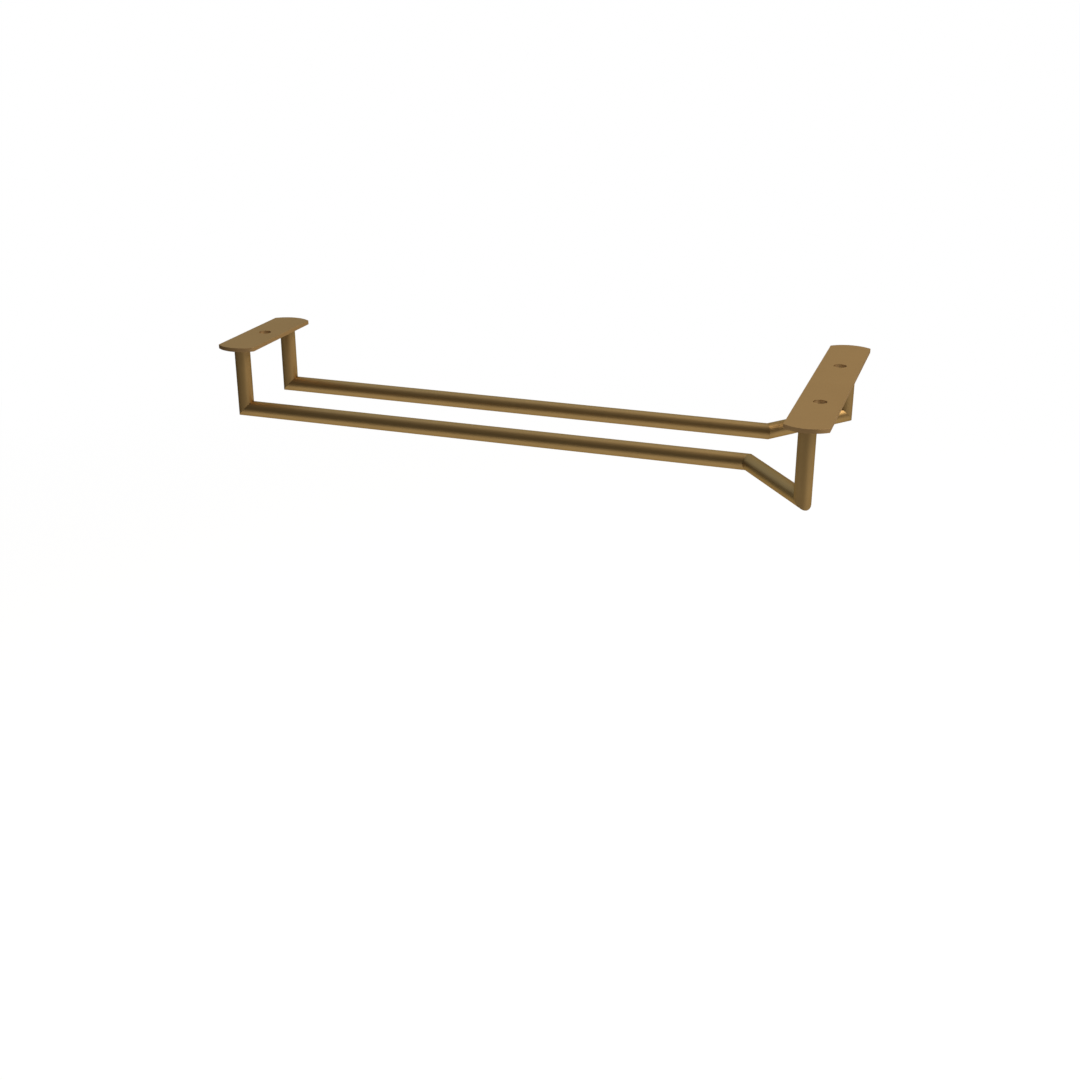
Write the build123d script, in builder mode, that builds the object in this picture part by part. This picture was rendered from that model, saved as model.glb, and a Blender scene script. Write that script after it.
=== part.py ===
from build123d import *
import math
import os

# Hanging rack of round bar, screwed up under a shelf by two flat plates.
# Two level rails leave a lane between them. At the front they splay outwards into a mouth.
# Frame: +Z up, the rails run along Y, and the mouth faces -Y. The origin is the middle of
# the front plate's top face, which is the face that goes against the shelf.
# Left is -X, as seen by someone who faces the mouth. Lengths are in millimetres.

# Round bar. Every corner is a mitre, brazed and dressed flush.
bar_diameter = 8.0

# How the bars run, centre line to centre line
post_span = 299.2          # from the front posts back to the rear posts
rail_spacing = 49.2        # between the two rails
mouth_spacing = 131.5      # between the two front posts
splay_reach = 32.4         # from the front posts back to where the rails start to splay
rail_drop = 34.8           # from the plates' top faces down to the rails

# Flat bar of the plates
plate_width = 20.3
plate_thickness = 2.0
front_overhang = 7.7       # from a front post's centre out to the end of its plate
rear_overhang = 9.85       # the same at the rear
end_bow_radius = 14.7      # each end is cut to this arc
end_corner_radius = 0.5    # where the arc meets the long sides
plate_edge_radius = 0.1    # rubbed-down outer edges

# Screw holes
screw_hole_diameter = 6.4
front_hole_spacing = 63.4
hole_edge_chamfer = 0.1

# Hollow fillet of braze round the top of each post
braze_leg = 0.5

# How far a bar is made too long before its mitre is cut
cut_overrun = 12.0


def unit(vector):
    return Vector(vector).normalized()


def side_route(sign):
    """Corner points of one side's bars, from the rear plate round to the front plate."""
    rail_x = sign * rail_spacing / 2
    mouth_x = sign * mouth_spacing / 2
    return [
        Vector(rail_x, post_span, -plate_thickness),
        Vector(rail_x, post_span, -rail_drop),
        Vector(rail_x, splay_reach, -rail_drop),
        Vector(mouth_x, 0, -rail_drop),
        Vector(mouth_x, 0, -plate_thickness),
    ]


def mitre_plane(before, corner, after):
    """Plane that halves the turn at a corner. Its normal points on along the route."""
    return Plane(origin=corner, z_dir=unit(corner - before) + unit(after - corner))


def cut_bar(route, first):
    """The bar from one corner of the route to the next, mitred where another bar follows."""
    start, end = route[first], route[first + 1]
    along = unit(end - start)
    mitred_start = first > 0
    mitred_end = first + 2 < len(route)
    base = start - along * cut_overrun if mitred_start else start
    tip = end + along * cut_overrun if mitred_end else end
    with BuildPart() as bar:
        with BuildSketch(Plane(origin=base, z_dir=along)):
            Circle(bar_diameter / 2)
        extrude(amount=(tip - base).length)
        if mitred_start:
            split(bisect_by=mitre_plane(route[first - 1], start, end), keep=Keep.TOP)
        if mitred_end:
            split(bisect_by=mitre_plane(start, end, route[first + 2]), keep=Keep.BOTTOM)
    return bar


def screw_plate(length, centre_y, hole_places):
    """Flat bar with bowed ends and plain screw holes, its top face at the shelf."""
    half_width = plate_width / 2
    end_bow = end_bow_radius - math.sqrt(end_bow_radius**2 - half_width**2)
    side_end = length / 2 - end_bow
    with BuildPart() as plate:
        with BuildSketch(Plane((0, centre_y, -plate_thickness))) as outline:
            with BuildLine():
                Line((-side_end, half_width), (side_end, half_width))
                ThreePointArc((side_end, half_width), (length / 2, 0), (side_end, -half_width))
                Line((side_end, -half_width), (-side_end, -half_width))
                ThreePointArc((-side_end, -half_width), (-length / 2, 0), (-side_end, half_width))
            make_face()
            fillet(outline.vertices(), radius=end_corner_radius)
        extrude(amount=plate_thickness)
        fillet(plate.faces().filter_by(Axis.Z).edges(), radius=plate_edge_radius)
        with Locations(*[(x, centre_y, 0) for x in hole_places]):
            Hole(screw_hole_diameter / 2)
        chamfer(plate.edges(Select.LAST).filter_by(GeomType.CIRCLE), length=hole_edge_chamfer)
    return plate


def braze_ring(top):
    """Ring of braze in the corner between a post and the plate above it."""
    bar_radius = bar_diameter / 2
    reach = bar_radius + braze_leg
    with BuildPart() as ring:
        with BuildSketch(Plane(origin=top, x_dir=(1, 0, 0), z_dir=(0, -1, 0))):
            with BuildLine():
                Line((bar_radius, 0), (reach, 0))
                RadiusArc((reach, 0), (bar_radius, -braze_leg), -braze_leg)
                Line((bar_radius, -braze_leg), (bar_radius, 0))
            make_face()
        revolve(axis=Axis(top, (0, 0, 1)))
    return ring


def finish(shape, name):
    shape.label = name
    export_step(shape, os.path.join("parts", name + ".step"))


os.makedirs("parts", exist_ok=True)

bar_names = ["rear_post", "rail", "splay", "front_post"]
post_tops = []
for side, sign in (("left", -1), ("right", 1)):
    route = side_route(sign)
    post_tops += [route[0], route[-1]]
    for first, bar_name in enumerate(bar_names):
        bar = cut_bar(route, first)
        finish(bar.part, f"{side}_{bar_name}")

front_holes = [-front_hole_spacing / 2, front_hole_spacing / 2]
front_plate = screw_plate(mouth_spacing + 2 * front_overhang, 0, front_holes)
finish(front_plate.part, "front_plate")

rear_plate = screw_plate(rail_spacing + 2 * rear_overhang, post_span, [0])
finish(rear_plate.part, "rear_plate")

rings = [braze_ring(top).part for top in post_tops]
finish(Compound(children=rings), "post_braze_rings")
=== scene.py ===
import math

import bmesh
import bpy
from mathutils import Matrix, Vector


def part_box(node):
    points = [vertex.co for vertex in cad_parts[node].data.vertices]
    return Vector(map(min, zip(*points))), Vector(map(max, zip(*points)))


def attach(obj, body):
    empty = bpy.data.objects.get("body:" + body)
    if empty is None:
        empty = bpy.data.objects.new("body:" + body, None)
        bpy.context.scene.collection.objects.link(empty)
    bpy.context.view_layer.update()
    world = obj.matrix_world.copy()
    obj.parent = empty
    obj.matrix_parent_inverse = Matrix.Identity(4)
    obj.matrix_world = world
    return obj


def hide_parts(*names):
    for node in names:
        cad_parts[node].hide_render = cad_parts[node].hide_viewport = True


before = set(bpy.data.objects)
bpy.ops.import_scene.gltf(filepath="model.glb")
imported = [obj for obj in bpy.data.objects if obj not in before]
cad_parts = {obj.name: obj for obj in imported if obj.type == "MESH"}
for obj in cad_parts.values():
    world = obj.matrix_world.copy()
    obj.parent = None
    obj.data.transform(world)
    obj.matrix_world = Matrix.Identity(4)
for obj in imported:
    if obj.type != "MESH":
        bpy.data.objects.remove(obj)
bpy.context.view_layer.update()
print("frame loaded:", len(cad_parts), "nodes")


def isVector(item):
    if isinstance(item, Wire):
        return item.socket.type == "VECTOR"
    return isinstance(item, tuple)


class Wire:
    # A node's output. Sums and products of wires add Math nodes, or Vector Math nodes for vectors.
    def __init__(self, graph, socket):
        self.graph = graph
        self.socket = socket

    def work(self, operation, first, second):
        if isVector(first) or isVector(second):
            return self.graph.vectorMaths(operation, first, second)
        return self.graph.maths(operation, first, second)

    def __add__(self, other):
        return self.work("ADD", self, other)

    def __radd__(self, other):
        return self.work("ADD", other, self)

    def __sub__(self, other):
        return self.work("SUBTRACT", self, other)

    def __rsub__(self, other):
        return self.work("SUBTRACT", other, self)

    def __mul__(self, other):
        return self.work("MULTIPLY", self, other)

    def __rmul__(self, other):
        return self.work("MULTIPLY", other, self)

    def __truediv__(self, other):
        return self.work("DIVIDE", self, other)

    def __rtruediv__(self, other):
        return self.work("DIVIDE", other, self)


class Graph:
    # A node tree that is written from Python.
    def __init__(self, tree):
        self.tree = tree

    def add(self, nodeType, settings=None, inputs=None, output=0):
        # Settings come first, because some of them change a node's sockets. Gives one output's wire.
        node = self.tree.nodes.new(nodeType)
        for name, value in (settings or {}).items():
            setattr(node, name, value)
        for name, value in (inputs or {}).items():
            if isinstance(value, Wire):
                self.tree.links.new(value.socket, node.inputs[name])
            else:
                node.inputs[name].default_value = value
        return Wire(self, node.outputs[output]) if len(node.outputs) else None

    def maths(self, operation, *values):
        return self.add("ShaderNodeMath", {"operation": operation}, dict(enumerate(values)))

    def vectorMaths(self, operation, *values, output=0):
        return self.add("ShaderNodeVectorMath", {"operation": operation},
                        dict(enumerate(values)), output)

    def least(self, first, second):
        return self.maths("MINIMUM", first, second)

    def clamped(self, value):
        return self.add("ShaderNodeClamp", {}, {"Value": value})

    def smooth(self, value, low, high):
        # 0 at low and 1 at high, with a soft start and end
        return self.add("ShaderNodeMapRange", {"interpolation_type": "SMOOTHSTEP"},
                        {"Value": value, "From Min": low, "From Max": high})

    def dot(self, first, second):
        return self.vectorMaths("DOT_PRODUCT", first, second, output="Value")

    def cross(self, first, second):
        return self.vectorMaths("CROSS_PRODUCT", first, second)

    def unit(self, vector):
        return self.vectorMaths("NORMALIZE", vector)

    def split(self, vector):
        node = self.add("ShaderNodeSeparateXYZ", {}, {0: vector}).socket.node
        return [Wire(self, socket) for socket in node.outputs]

    def vector(self, x, y, z):
        return self.add("ShaderNodeCombineXYZ", {}, {0: x, 1: y, 2: z})

    def blend(self, factor, first, second):
        # First colour at factor 0, second at 1. They are a Mix node's inputs 6 and 7, and its output 2.
        return self.add("ShaderNodeMix", {"data_type": "RGBA"}, {0: factor, 6: first, 7: second}, 2)

    def noise(self, vector, scale, detail, breakup):
        return self.add("ShaderNodeTexNoise", {},
                        {"Vector": vector, "Scale": scale, "Detail": detail, "Roughness": breakup})

    def attribute(self, name, output="Fac"):
        return self.add("ShaderNodeAttribute", {"attribute_name": name}, {}, output)


# How the bars run, centre line to centre line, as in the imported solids
rack = {
    "barRadius": 0.004,
    "postSpan": 0.2992,
    "railSpacing": 0.0492,
    "mouthSpacing": 0.1315,
    "splayReach": 0.0324,
    "railDrop": 0.0348,
    "plateThickness": 0.002,
}

# Aged satin brass. Each pattern has its size, how ragged it is, called breakup, and how far it
# shifts the aging and the roughness.
brass = {
    "colour": (0.375, 0.240, 0.095, 1),
    "agedColour": (0.338, 0.217, 0.086, 1),
    "heatColour": (0.306, 0.193, 0.077, 1),
    "brazeColour": (0.382, 0.252, 0.104, 1),
    "glancingTint": (0.580, 0.489, 0.360, 1),   # of its reflection at a glancing angle
    "roughness": 0.492,
    "noiseDetail": 3.0,
    "cloudSize": 0.035,         # patches of patina
    "cloudBreakup": 0.55,
    "cloudStart": 0.35,         # noise value where a patch begins
    "cloudFull": 0.75,          # and where it is at its strongest
    "cloudAging": 0.5,
    "cloudRoughness": 0.06,
    "speckSize": 0.0016,        # fine mottling
    "speckBreakup": 0.6,
    "speckAging": 0.25,
    "speckRoughness": 0.03,
    "grainWidth": 0.00028,      # across the satin grain
    "grainLength": 0.012,
    "grainHeight": 0.000003,
    "grainBreakup": 0.6,
    "grainAging": 0.7,
    "grainRoughness": 0.12,
    "heatReach": 0.007,         # how far the torch's tint runs from a joint
    "heatStrength": 0.3,
    "heatUnevenness": 0.3,
    "heatRoughness": 0.02,
    "seamWidth": 0.00012,       # hairline of braze at a joint
    "seamCore": 0.6,            # share of its width that is at full strength
    "seamStrength": 0.6,
}
# The flat bar's colours are set a little brighter than the round bar's: painted light, standing in for
# light from above that its flat top catches. Its edges have been rubbed.
plateLookWithPaintedLight = {
    **brass,
    "colour": (0.419, 0.260, 0.115, 1),
    "agedColour": (0.379, 0.234, 0.104, 1),
    "rubbedColour": (0.432, 0.268, 0.119, 1),
    "rubStrength": 0.4,
    "rubUnevenness": 0.8,
    "rubPolish": 0.04,
}
brazeLook = {
    **brass,
    "colour": brass["brazeColour"],
    "roughness": 0.36,
    "cloudSize": 0.004,
    "speckSize": 0.0006,
}


def newMaterial(name):
    material = bpy.data.materials.new(name)
    material.use_nodes = True
    material.node_tree.nodes.clear()
    return material, Graph(material.node_tree)


def swing(noise, amount):
    # Noise runs from 0 to 1 about a middle of 0.5.
    return (noise - 0.5) * amount


def satinBrass(name, look, readPlace, readJoint=None, readWear=None):
    # The readers add nodes that find a point's place, how far it is from a joint, and how rubbed it is.
    # Place is a vector in metres, with the grain along its third number.
    material, graph = newMaterial(name)
    place = readPlace(graph)
    detail = look["noiseDetail"]
    across = place * (1 / look["grainWidth"], 1 / look["grainWidth"], 1 / look["grainLength"])
    grain = graph.noise(across, 1.0, detail, look["grainBreakup"])
    cloud = graph.noise(place, 1 / look["cloudSize"], detail, look["cloudBreakup"])
    speck = graph.noise(place, 1 / look["speckSize"], detail, look["speckBreakup"])
    patina = graph.smooth(cloud, look["cloudStart"], look["cloudFull"]) * look["cloudAging"]
    aged = graph.clamped(patina + swing(speck, look["speckAging"]) + swing(grain, look["grainAging"]))
    colour = graph.blend(aged, look["colour"], look["agedColour"])
    rough = look["roughness"] + swing(cloud, look["cloudRoughness"])
    rough = rough + swing(grain, look["grainRoughness"]) + swing(speck, look["speckRoughness"])
    if readJoint:
        joint = readJoint(graph)
        heat = 1 - graph.smooth(joint, 0.0, look["heatReach"])
        tint = heat * (look["heatStrength"] + swing(speck, look["heatUnevenness"]))
        colour = graph.blend(tint, colour, look["heatColour"])
        rough = rough + heat * look["heatRoughness"]
        seam = 1 - graph.smooth(joint, look["seamWidth"] * look["seamCore"], look["seamWidth"])
        colour = graph.blend(seam * look["seamStrength"], colour, look["brazeColour"])
    if readWear:
        rubbing = look["rubStrength"] + swing(speck, look["rubUnevenness"])
        wear = graph.clamped(readWear(graph) * rubbing)
        colour = graph.blend(wear, colour, look["rubbedColour"])
        rough = rough - wear * look["rubPolish"]
    normal = graph.add("ShaderNodeBump", {}, {
        "Strength": 1.0,
        "Distance": look["grainHeight"],
        "Height": grain,
    })
    surface = graph.add("ShaderNodeBsdfPrincipled", {}, {
        "Base Color": colour,
        "Metallic": 1.0,
        "Roughness": rough,
        "Specular Tint": look["glancingTint"],
        "Normal": normal,
    })
    graph.add("ShaderNodeOutputMaterial", {}, {"Surface": surface})
    return material


def barPlace(graph):
    return graph.attribute("grainPlace", "Vector")


def barJoint(graph):
    return graph.least(graph.attribute("fromStart"), graph.attribute("fromEnd"))


def platePlace(graph):
    # The grain runs along the plate, which is X.
    x, y, z = graph.split(graph.add("ShaderNodeTexCoord", output="Object"))
    return graph.vector(y, z, x)


def plateWear(graph):
    return graph.attribute("edgeWear")


barBrass = satinBrass("barBrass", brass, barPlace, readJoint=barJoint)
plateBrass = satinBrass("plateBrass", plateLookWithPaintedLight, platePlace, readWear=plateWear)
brazeBrass = satinBrass("brazeBrass", brazeLook, platePlace)
print("materials made")


# On every piece, an edge that turns more than this is drawn sharp.
sharpAngle = math.radians(28)


def addObject(name, data):
    added = bpy.data.objects.new(name, data)
    bpy.context.scene.collection.objects.link(added)
    return added


def standFor(piece, slot, *nodes):
    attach(piece, "root")
    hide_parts(*nodes)


def nodeTree(name, sizes):
    # Starts a Geometry Nodes tree. Gives its graph, its named inputs' wires and their identifiers.
    tree = bpy.data.node_groups.new(name, "GeometryNodeTree")
    tree.is_modifier = True
    tree.interface.new_socket("Geometry", in_out="INPUT", socket_type="NodeSocketGeometry")
    tree.interface.new_socket("Geometry", in_out="OUTPUT", socket_type="NodeSocketGeometry")
    identifiers = {}
    for label, kind in sizes.items():
        socket = tree.interface.new_socket(label, in_out="INPUT", socket_type="NodeSocket" + kind)
        identifiers[label] = socket.identifier
    graph = Graph(tree)
    entry = tree.nodes.new("NodeGroupInput")
    wires = {socket.name: Wire(graph, socket) for socket in entry.outputs if socket.name}
    return graph, wires, identifiers


def closeTree(graph, shape, material):
    # Every tree ends the same way: smooth faces, sharp corners, one material.
    turn = graph.add("GeometryNodeInputMeshEdgeAngle")
    sharp = graph.add("FunctionNodeCompare", {"operation": "GREATER_THAN"}, {0: turn, 1: sharpAngle})
    shape = graph.add("GeometryNodeSetShadeSmooth", {"domain": "FACE"}, {0: shape, "Shade Smooth": True})
    shape = graph.add("GeometryNodeSetShadeSmooth", {"domain": "EDGE"},
                      {0: shape, "Selection": sharp, "Shade Smooth": False})
    shape = graph.add("GeometryNodeRealizeInstances", {}, {0: shape})
    shape = graph.add("GeometryNodeSetMaterial", {}, {0: shape, "Material": material})
    graph.add("NodeGroupOutput", {}, {0: shape})


def store(graph, shape, name, value, kind="FLOAT"):
    return graph.add("GeometryNodeStoreNamedAttribute", {"data_type": kind, "domain": "POINT"},
                     {0: shape, "Name": name, "Value": value})


def stored(graph, name, kind="FLOAT"):
    return graph.add("GeometryNodeInputNamedAttribute", {"data_type": kind}, {"Name": name})


def ringedBlank(graph, entry, ends):
    # Cylinder of unit radius and height, and its points' x, y and ring, counted up from 0
    blank = graph.add("GeometryNodeMeshCylinder", {"fill_type": ends}, {
        "Vertices": entry["Sides"], "Side Segments": entry["Rings"], "Radius": 1.0, "Depth": 1.0,
    })
    x, y, z = graph.split(graph.add("GeometryNodeInputPosition"))
    return blank, x, y, (z + 0.5) * entry["Rings"]


def grow(name, tree, identifiers, sizes, base=None):
    # Runs a tree on a carrier object and keeps the result as a plain mesh at the origin.
    carrier = addObject(name + "Carrier", base or bpy.data.meshes.new(name + "Blank"))
    modifier = carrier.modifiers.new("shape", "NODES")
    modifier.node_group = tree
    for label, value in sizes.items():
        modifier[identifiers[label]] = value
    evaluated = carrier.evaluated_get(bpy.context.evaluated_depsgraph_get())
    mesh = bpy.data.meshes.new_from_object(evaluated)
    mesh.name = name
    carrier.modifiers.clear()
    bpy.data.objects.remove(carrier)
    return addObject(name, mesh)


# Round bar. Each end face lies in its cut plane, with a broken edge that makes the mitres' hairline.
bar = {
    "sides": 96,   # a multiple of 4, so that the corners of two bars meet at a mitre
    "rings": 9,
    "edgeBreak": 0.00006,
}


def mitredBarTree():
    graph, entry, identifiers = nodeTree("mitredBar", {
        "Start": "Vector", "End": "Vector", "Start Cut": "Vector", "End Cut": "Vector",
        "Side Axis": "Vector", "Radius": "Float", "Edge Break": "Float", "Sides": "Int", "Rings": "Int",
    })
    blank, x, y, ring = ringedBlank(graph, entry, "NGON")
    start, startCut = entry["Start"], entry["Start Cut"]
    end, endCut = entry["End"], entry["End Cut"]
    rings = entry["Rings"]
    # The first and last rings lie in the cuts, drawn in by the edge break. Those next to them stand
    # back by as much at full radius, and the others are spread evenly between those two.
    fromFace = graph.clamped(graph.least(ring, rings - ring))
    edgeBack = entry["Edge Break"] * fromFace
    reach = entry["Radius"] - entry["Edge Break"] * (1 - fromFace)
    along = graph.unit(end - start)
    upAxis = graph.cross(along, entry["Side Axis"])
    offset = entry["Side Axis"] * (x * reach) + upAxis * (y * reach)
    # A point slides along the bar to the plane of a cut.
    slideStart = edgeBack - graph.dot(offset, startCut) / graph.dot(along, startCut)
    slideEnd = 0 - edgeBack - graph.dot(offset, endCut) / graph.dot(along, endCut)
    first = start + offset + along * slideStart
    last = end + offset + along * slideEnd
    share = graph.clamped((ring - 1) / (rings - 2))
    spot = first + (last - first) * share
    place = graph.vector(x * reach, y * reach, graph.dot(spot - start, along))
    shape = store(graph, blank, "grainPlace", place, "FLOAT_VECTOR")
    shape = store(graph, shape, "fromStart", graph.dot(spot - start, startCut))
    shape = store(graph, shape, "fromEnd", graph.dot(end - spot, endCut))
    shape = graph.add("GeometryNodeSetPosition", {}, {0: shape, "Position": spot})
    closeTree(graph, shape, barBrass)
    return graph.tree, identifiers


def sideRoute(sign):
    # Corner points of one side's bars, from the rear plate round to the front plate
    railX = sign * rack["railSpacing"] / 2
    mouthX = sign * rack["mouthSpacing"] / 2
    top = -rack["plateThickness"]
    low = -rack["railDrop"]
    return [
        Vector((railX, rack["postSpan"], top)),
        Vector((railX, rack["postSpan"], low)),
        Vector((railX, rack["splayReach"], low)),
        Vector((mouthX, 0, low)),
        Vector((mouthX, 0, top)),
    ]


barTree, barInputs = mitredBarTree()
barNodes = {"RearPost": "rear_post", "Rail": "rail", "Splay": "splay", "FrontPost": "front_post"}
for side, sign in (("left", -1), ("right", 1)):
    route = sideRoute(sign)
    ways = [(after - before).normalized() for before, after in zip(route, route[1:])]
    # A cut is known by its normal. It is square at a plate, and halves the turn at a mitre.
    mitres = [(before + after).normalized() for before, after in zip(ways, ways[1:])]
    cuts = [ways[0]] + mitres + [ways[-1]]
    for i, (barName, node) in enumerate(barNodes.items()):
        turnAt = min(i, len(ways) - 2)  # the turn after this bar, or the one before the last bar
        piece = grow(side + barName, barTree, barInputs, {
            "Start": route[i],
            "End": route[i + 1],
            "Start Cut": cuts[i],
            "End Cut": cuts[i + 1],
            "Side Axis": ways[turnAt].cross(ways[turnAt + 1]).normalized(),
            "Radius": rack["barRadius"],
            "Edge Break": bar["edgeBreak"],
            "Sides": bar["sides"],
            "Rings": bar["rings"],
        })
        standFor(piece, "bar", side + "_" + node)
print("bars made")


# Flat bar of the two plates
plate = {
    "endBow": 0.0147,            # radius of each end
    "cornerRadius": 0.0005,      # where an end meets a long side
    "edgeRadius": 0.00002,
    "holeRadius": 0.0032,
    "frontHoleSpacing": 0.0634,
    "wearReach": 0.0004,         # how far rubbing shows in from an edge, under the corner radius
    "edgeWear": 1.0,
    "sideWear": 0.25,
    "holeWear": 0.15,
    "bowSteps": 40,
    "cornerSteps": 8,
    "edgeSteps": 4,
    "holeSteps": 96,
    "flatness": 90,              # how strongly large faces rule the shading, of 100
}


def arc(x, y, radius, start, end, steps):
    # Points round a centre, from one angle to another, with both ends
    angles = [start + (end - start) * i / steps for i in range(steps + 1)]
    return [(x + radius * math.cos(angle), y + radius * math.sin(angle)) for angle in angles]


def plateOutline(length, width, inset):
    # Closed line round the plate, drawn in by the inset: its right half, then that half turned round
    bow = plate["endBow"]
    corner = plate["cornerRadius"]
    bowX = length / 2 - bow
    cornerY = width / 2 - corner
    cornerX = bowX + math.sqrt((bow - corner) ** 2 - cornerY ** 2)
    lean = math.atan2(cornerY, cornerX - bowX)
    square = math.pi / 2
    lower = arc(cornerX, -cornerY, corner - inset, -square, -lean, plate["cornerSteps"])
    end = arc(bowX, 0, bow - inset, -lean, lean, plate["bowSteps"])
    upper = arc(cornerX, cornerY, corner - inset, lean, square, plate["cornerSteps"])
    right = lower[:-1] + end + upper[1:]
    return right + [(-x, -y) for x, y in right]


def sideLevels(length, width, top, bottom):
    # A level is a closed line of points, its height and how rubbed it is. These run from inside the
    # top face, round its edge and down the side, to inside the bottom face.
    edge = plate["edgeRadius"]
    levels = [(plateOutline(length, width, edge + plate["wearReach"]), top, 0.0)]
    for i in range(plate["edgeSteps"] + 1):
        angle = math.pi / 2 * i / plate["edgeSteps"]
        points = plateOutline(length, width, edge * (1 - math.sin(angle)))
        levels.append((points, top - edge * (1 - math.cos(angle)), plate["edgeWear"]))
    middle = (plateOutline(length, width, 0), (top + bottom) / 2, plate["sideWear"])
    mirrored = [(points, top + bottom - z, wear) for points, z, wear in reversed(levels)]
    return levels + [middle] + mirrored


def holeCircle(holeX, radius):
    return arc(holeX, 0, radius, 0, 2 * math.pi, plate["holeSteps"])[:-1]


def holeLevels(holeX, top, bottom):
    # From the top face in to the hole, down its wall, and out along the bottom face
    wall = holeCircle(holeX, plate["holeRadius"])
    around = holeCircle(holeX, plate["holeRadius"] + plate["wearReach"])
    wear = plate["holeWear"]
    return [(around, top, 0.0), (wall, top, wear), (wall, bottom, wear), (around, bottom, 0.0)]


def loft(bm, levels, centre, wearLayer):
    # Makes a ring of points at each level and joins the rings in order.
    rings = []
    for points, z, wear in levels:
        ring = [bm.verts.new((centre.x + x, centre.y + y, z)) for x, y in points]
        for vertex in ring:
            vertex[wearLayer] = wear
        rings.append(ring)
    for above, below in zip(rings, rings[1:]):
        for i in range(len(above)):
            j = (i + 1) % len(above)
            bm.faces.new((above[i], below[i], below[j], above[j]))
    return rings


def screwPlate(name, node, holePlaces):
    low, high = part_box(node)
    top = high.z
    bottom = low.z
    centre = Vector(((low.x + high.x) / 2, (low.y + high.y) / 2, 0))
    bm = bmesh.new()
    wearLayer = bm.verts.layers.float.new("edgeWear")
    side = loft(bm, sideLevels(high.x - low.x, high.y - low.y, top, bottom), centre, wearLayer)
    topLoops = [side[0]]
    bottomLoops = [side[-1]]
    for holeX in holePlaces:
        hole = loft(bm, holeLevels(holeX, top, bottom), centre, wearLayer)
        topLoops.append(hole[0])
        bottomLoops.append(hole[-1])
    for loops in (topLoops, bottomLoops):
        edges = [bm.edges.get((ring[i - 1], ring[i])) for ring in loops for i in range(len(ring))]
        bmesh.ops.triangle_fill(bm, edges=edges, use_beauty=True, normal=(0, 0, 1))
    bmesh.ops.recalc_face_normals(bm, faces=bm.faces)
    for face in bm.faces:
        face.smooth = True
    for line in bm.edges:
        line.smooth = line.calc_face_angle(0) < sharpAngle
    mesh = bpy.data.meshes.new(name)
    bm.to_mesh(mesh)
    bm.free()
    mesh.materials.append(plateBrass)
    piece = addObject(name, mesh)
    weighted = piece.modifiers.new("flatFaces", "WEIGHTED_NORMAL")
    weighted.keep_sharp = True
    weighted.weight = plate["flatness"]
    standFor(piece, "plate", node)


frontHole = plate["frontHoleSpacing"] / 2
screwPlate("frontPlate", "front_plate", [-frontHole, frontHole])
screwPlate("rearPlate", "rear_plate", [0])
print("plates made")


# Braze run in round the top of each post
braze = {
    "leg": 0.0005,              # how far it reaches along the plate and down the post
    "sides": 72,
    "rings": 10,
    "unevenness": 0.00009,      # height of its swells
    "wander": 0.0022,           # and their length
    "wanderDetail": 1.0,
    "flatLevel": 0.35,          # noise value that leaves the face where it is
    "seed": 4,
    "weldDistance": 0.000001,   # under this, points are one
}


def brazeTree():
    graph, entry, identifiers = nodeTree("brazeRings", {
        "Radius": "Float", "Leg": "Float", "Unevenness": "Float", "Wander": "Float",
        "Sides": "Int", "Rings": "Int", "Seed": "Float",
    })
    blank, x, y, ring = ringedBlank(graph, entry, "NONE")
    # The rings run up the hollow face from the post to the plate, in to the corner and down the post.
    rings = entry["Rings"]
    angle = ring / (rings - 2) * (math.pi / 2)
    onFace = graph.clamped(rings - 1 - ring)
    atEnd = graph.clamped(ring - (rings - 1))
    leg = entry["Leg"]
    reach = entry["Radius"] + leg * (1 - graph.maths("COSINE", angle)) * onFace
    drop = leg * (graph.maths("SINE", angle) - 1) * onFace - leg * atEnd
    # A swell pushes the face out from the post and down, and is highest halfway along the face.
    swell = graph.maths("SINE", angle * 2) * onFace
    shape = store(graph, blank, "swell", swell)
    shape = store(graph, shape, "outward", graph.vector(x, y, -1), "FLOAT_VECTOR")
    spot = graph.vector(x * reach, y * reach, drop)
    shape = graph.add("GeometryNodeSetPosition", {}, {0: shape, "Position": spot})
    shape = graph.add("GeometryNodeMergeByDistance", {}, {0: shape, "Distance": braze["weldDistance"]})
    shape = graph.add("GeometryNodeInstanceOnPoints", {}, {0: entry["Geometry"], "Instance": shape})
    shape = graph.add("GeometryNodeRealizeInstances", {}, {0: shape})
    bumps = graph.add("ShaderNodeTexNoise", {"noise_dimensions": "4D"}, {
        "Vector": graph.add("GeometryNodeInputPosition"),
        "W": entry["Seed"],
        "Scale": 1 / entry["Wander"],
        "Detail": braze["wanderDetail"],
    })
    push = stored(graph, "swell") * (bumps - braze["flatLevel"]) * entry["Unevenness"]
    push = stored(graph, "outward", "FLOAT_VECTOR") * push
    shape = graph.add("GeometryNodeSetPosition", {}, {0: shape, "Offset": push})
    closeTree(graph, shape, brazeBrass)
    return graph.tree, identifiers


ringTree, ringInputs = brazeTree()
postTops = bpy.data.meshes.new("postTops")
postTops.from_pydata([sideRoute(sign)[end] for sign in (-1, 1) for end in (0, -1)], [], [])
postBraze = grow("postBraze", ringTree, ringInputs, {
    "Radius": rack["barRadius"],
    "Leg": braze["leg"],
    "Unevenness": braze["unevenness"],
    "Wander": braze["wander"],
    "Sides": braze["sides"],
    "Rings": braze["rings"],
    "Seed": braze["seed"],
}, postTops)
standFor(postBraze, "braze", "post_braze_rings")
print("braze made")


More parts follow.
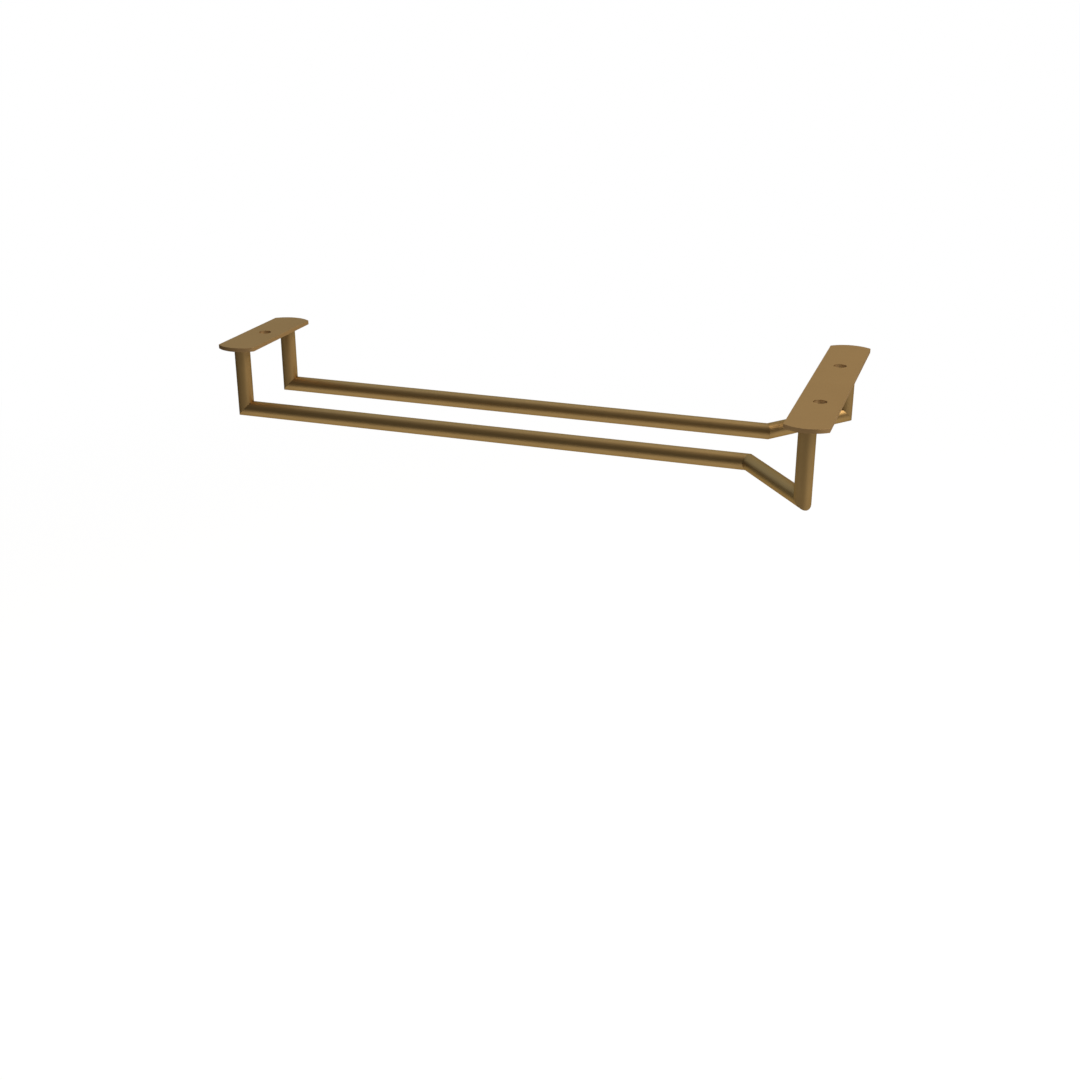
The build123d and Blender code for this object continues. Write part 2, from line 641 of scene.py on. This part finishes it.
# Camera, floor and light
studio = {
    "cameraPlace": (-0.66925, -0.08373, 0.19195),
    "cameraHeading": 71.168,    # from +Y towards +X, in degrees
    "cameraDip": 22.37,         # below the level
    "cameraLens": 48.42,
    "cameraSensor": 36,
    "cameraClip": (0.01, 50),
    "centre": (0, 0.15, -0.02),  # of the screens, and of the floor's lit patch
    "white": (1, 1, 1, 1),
    "floorHeight": -0.45,
    "floorSize": 12.0,
    "floorColour": (0.90, 0.90, 0.90, 1),
    "floorShadow": 0.2,         # how much of the floor's look is lit, where its shadow shows
    "floorReach": (0.6, 1.6),   # where the lit floor starts and ends fading into plain white
    "worldLevel": 0.8,          # how strongly the world lights; itself, it shows as plain white
    "keyPlace": (0.096, -0.877, 1.181),
    "keyAim": (0.066, 0, -0.035),
    "keySize": 0.90,
    "keyPower": 30.0,
    "keyColour": (1.00, 0.93, 0.83),
    "screenSteps": (48, 16),
}

# Soft-edged screens round the object, which show only in its reflections. Turn is from the camera's
# side towards its left, and climb is above the level, both in degrees. Fade is the share of a screen's
# width and height that each edge takes to fade out. Colour is its glow in the middle.
screens = [
    {
        "name": "ringScreen",
        "turn": (-156, 120),
        "climb": (-13, 83),
        "fade": (0.10, 0.06),
        "distance": 1.40,
        "colour": (0.130, 0.130, 0.130, 1),
    },
    {
        "name": "coolScreen",
        "turn": (89, 213),
        "climb": (-46, 74),
        "fade": (0.15, 0.14),
        "distance": 1.25,
        "colour": (0.645, 0.775, 1.000, 1),
    },
    {
        "name": "leftScreen",
        "turn": (-27, 137),
        "climb": (-29, 28),
        "fade": (0.05, 0.17),
        "distance": 1.10,
        "colour": (0.130, 0.130, 0.130, 1),
    },
    {
        "name": "lowScreen",
        "turn": (-54, 91),
        "climb": (-51, -19),
        "fade": (0.12, 0.29),
        "distance": 1.00,
        "colour": (0.580, 0.530, 0.425, 1),
    },
]


def heading(degrees, climb):
    # Unit vector for a compass heading, from +Y towards +X, and a climb above the level
    flat = math.cos(math.radians(climb))
    return Vector((
        math.sin(math.radians(degrees)) * flat,
        math.cos(math.radians(degrees)) * flat,
        math.sin(math.radians(climb)),
    ))


def makeCamera():
    data = bpy.data.cameras.new("camera")
    data.lens = studio["cameraLens"]
    data.sensor_width = studio["cameraSensor"]
    data.clip_start, data.clip_end = studio["cameraClip"]
    camera = addObject("camera", data)
    camera.location = studio["cameraPlace"]
    way = heading(studio["cameraHeading"], -studio["cameraDip"])
    camera.rotation_euler = way.to_track_quat("-Z", "Y").to_euler()
    bpy.context.scene.camera = camera


def seenDirectly(graph):
    # 1 for rays from the camera and for reflections and refractions, 0 for rays that only light things
    outputs = ["Is Camera Ray", "Is Glossy Ray", "Is Transmission Ray"]
    rays = [graph.add("ShaderNodeLightPath", output=name) for name in outputs]
    return graph.clamped(rays[0] + rays[1] + rays[2])


def makeFloor():
    half = studio["floorSize"] / 2
    z = studio["floorHeight"]
    corners = [(-half, -half, z), (half, -half, z), (half, half, z), (-half, half, z)]
    mesh = bpy.data.meshes.new("floor")
    mesh.from_pydata(corners, [], [(0, 1, 2, 3)])
    material, graph = newMaterial("floorPaint")
    lit = graph.add("ShaderNodeBsdfDiffuse", {}, {"Color": studio["floorColour"]})
    white = graph.add("ShaderNodeEmission", {}, {"Color": studio["white"], "Strength": 1.0})
    where = graph.add("ShaderNodeTexCoord", output="Object")
    away = graph.vectorMaths("DISTANCE", where, (0, studio["centre"][1], z), output="Value")
    faded = graph.smooth(away, *studio["floorReach"])
    factor = seenDirectly(graph) * (1 - studio["floorShadow"] * (1 - faded))
    surface = graph.add("ShaderNodeMixShader", {}, {0: factor, 1: lit, 2: white})
    graph.add("ShaderNodeOutputMaterial", {}, {"Surface": surface})
    mesh.materials.append(material)
    addObject("floor", mesh)


def between(ends, share):
    return ends[0] + (ends[1] - ends[0]) * share


def screenMesh(screen):
    across, up = studio["screenSteps"]
    spots = [(i / across, j / up) for j in range(up + 1) for i in range(across + 1)]
    points = []
    for u, v in spots:
        turn = studio["cameraHeading"] + 180 + between(screen["turn"], u)
        way = heading(turn, between(screen["climb"], v))
        points.append(Vector(studio["centre"]) + way * screen["distance"])
    row = across + 1
    faces = [(j * row + i, j * row + i + 1, (j + 1) * row + i + 1, (j + 1) * row + i)
             for j in range(up) for i in range(across)]
    mesh = bpy.data.meshes.new(screen["name"])
    mesh.from_pydata(points, [], faces)
    layer = mesh.uv_layers.new(name="screenPlace")
    for loop in mesh.loops:
        layer.data[loop.index].uv = spots[loop.vertex_index]
    return mesh


def makeScreen(screen):
    mesh = screenMesh(screen)
    material, graph = newMaterial(screen["name"] + "Cloth")
    u, v = graph.split(graph.add("ShaderNodeUVMap", {"uv_map": "screenPlace"}))[:2]
    mask = graph.smooth(graph.least(u, 1 - u), 0.0, screen["fade"][0])
    mask = mask * graph.smooth(graph.least(v, 1 - v), 0.0, screen["fade"][1])
    clear = graph.add("ShaderNodeBsdfTransparent", {}, {"Color": studio["white"]})
    cloth = graph.add("ShaderNodeEmission", {}, {"Color": screen["colour"], "Strength": 1.0})
    surface = graph.add("ShaderNodeMixShader", {}, {0: mask, 1: clear, 2: cloth})
    graph.add("ShaderNodeOutputMaterial", {}, {"Surface": surface})
    material.cycles.emission_sampling = "NONE"
    mesh.materials.append(material)
    hung = addObject(screen["name"], mesh)
    hung.visible_camera = False
    hung.visible_diffuse = False
    hung.visible_shadow = False


def makeWorld():
    world = bpy.data.worlds.new("studio")
    bpy.context.scene.world = world
    world.use_nodes = True
    world.node_tree.nodes.clear()
    graph = Graph(world.node_tree)
    strength = studio["worldLevel"] + seenDirectly(graph) * (1 - studio["worldLevel"])
    surface = graph.add("ShaderNodeBackground", {}, {"Color": studio["white"], "Strength": strength})
    graph.add("ShaderNodeOutputWorld", {}, {"Surface": surface})
    world.cycles.sampling_method = "NONE"


def makeKey():
    data = bpy.data.lights.new("key", "AREA")
    data.shape = "DISK"
    data.size = studio["keySize"]
    data.energy = studio["keyPower"]
    data.color = studio["keyColour"]
    key = addObject("key", data)
    key.location = studio["keyPlace"]
    way = Vector(studio["keyPlace"]) - Vector(studio["keyAim"])
    key.rotation_euler = way.to_track_quat("Z", "Y").to_euler()
    key.visible_camera = False


makeCamera()
makeFloor()
for screen in screens:
    makeScreen(screen)
makeWorld()
makeKey()
bpy.context.scene.view_settings.view_transform = "Standard"
print("studio made")
